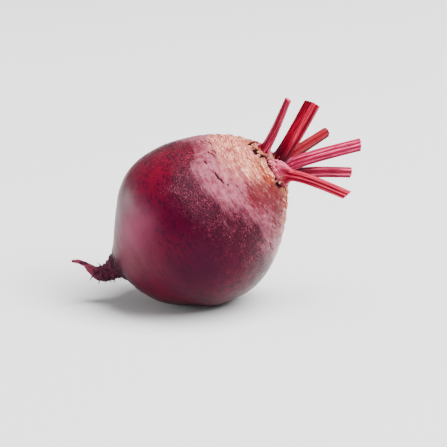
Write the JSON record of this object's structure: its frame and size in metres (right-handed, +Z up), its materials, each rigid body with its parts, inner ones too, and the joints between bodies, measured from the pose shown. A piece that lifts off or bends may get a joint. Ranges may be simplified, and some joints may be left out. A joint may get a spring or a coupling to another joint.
{
  "type": "beetroot",
  "caption": "Whole beetroot lying on its side: round dark red root with a thin tap root, a corky crown and ribbed leaf stalks cut short.",
  "frame": {"origin": "centre of the small flat spot that the root rests on", "axes": "+X level, towards the crown and its stalks; +Z up; the root's own axis climbs about 34 degrees from +X towards +Z"},
  "size_m": [0.1395, 0.0833, 0.101],
  "materials": {
    "root_skin": "thin waxy burgundy skin, smooth by the tap root, corky and tan by the crown",
    "leaf_stalk": "satin crimson with pale pink ribs",
    "torn_leaf": "dry, matt and frayed"
  },
  "bodies": {
    "root": {"root": "root_skin", "leaf_stalk_1": "leaf_stalk", "leaf_stalk_2": "leaf_stalk", "leaf_stalk_3": "leaf_stalk", "leaf_stalk_4": "leaf_stalk", "leaf_stalk_5": "leaf_stalk", "leaf_stalk_6": "leaf_stalk", "torn_leaf_base": "torn_leaf"}
  },
  "joints": []
}
